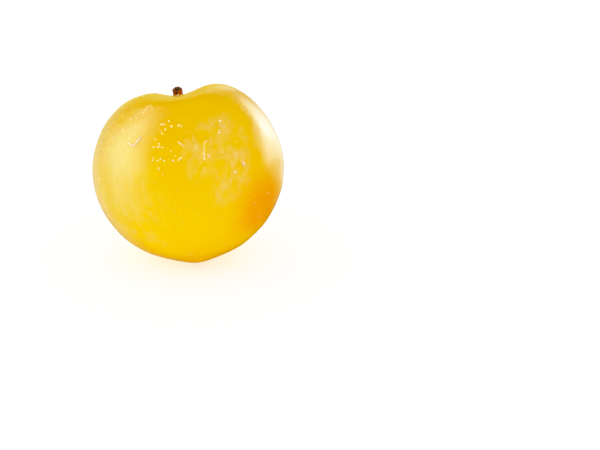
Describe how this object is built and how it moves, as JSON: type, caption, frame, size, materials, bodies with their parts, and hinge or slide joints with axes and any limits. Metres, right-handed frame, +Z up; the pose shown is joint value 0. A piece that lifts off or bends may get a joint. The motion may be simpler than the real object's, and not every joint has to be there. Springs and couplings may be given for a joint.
{
  "type": "plum",
  "caption": "Whole yellow dessert plum with a hollowed stem end, a side seam and a short woody stem stub, resting on a small flat spot.",
  "frame": {"origin": "centre of the footprint, on the surface that the plum rests on", "axes": "+Z up, +X towards the plum's right cheek (its longest extent), +Y towards the seam at its back; the stem end leans 23 degrees towards +Y and 5 degrees towards -X"},
  "size_m": [0.056, 0.0542, 0.051],
  "materials": {
    "skin": "smooth waxy yellow fruit skin, semi-gloss, with pale bloom patches and fine dots",
    "stem_bark": "rough dry brown bark with a broken end"
  },
  "bodies": {
    "root": {"fruit": "skin", "stem": "stem_bark"}
  },
  "joints": []
}
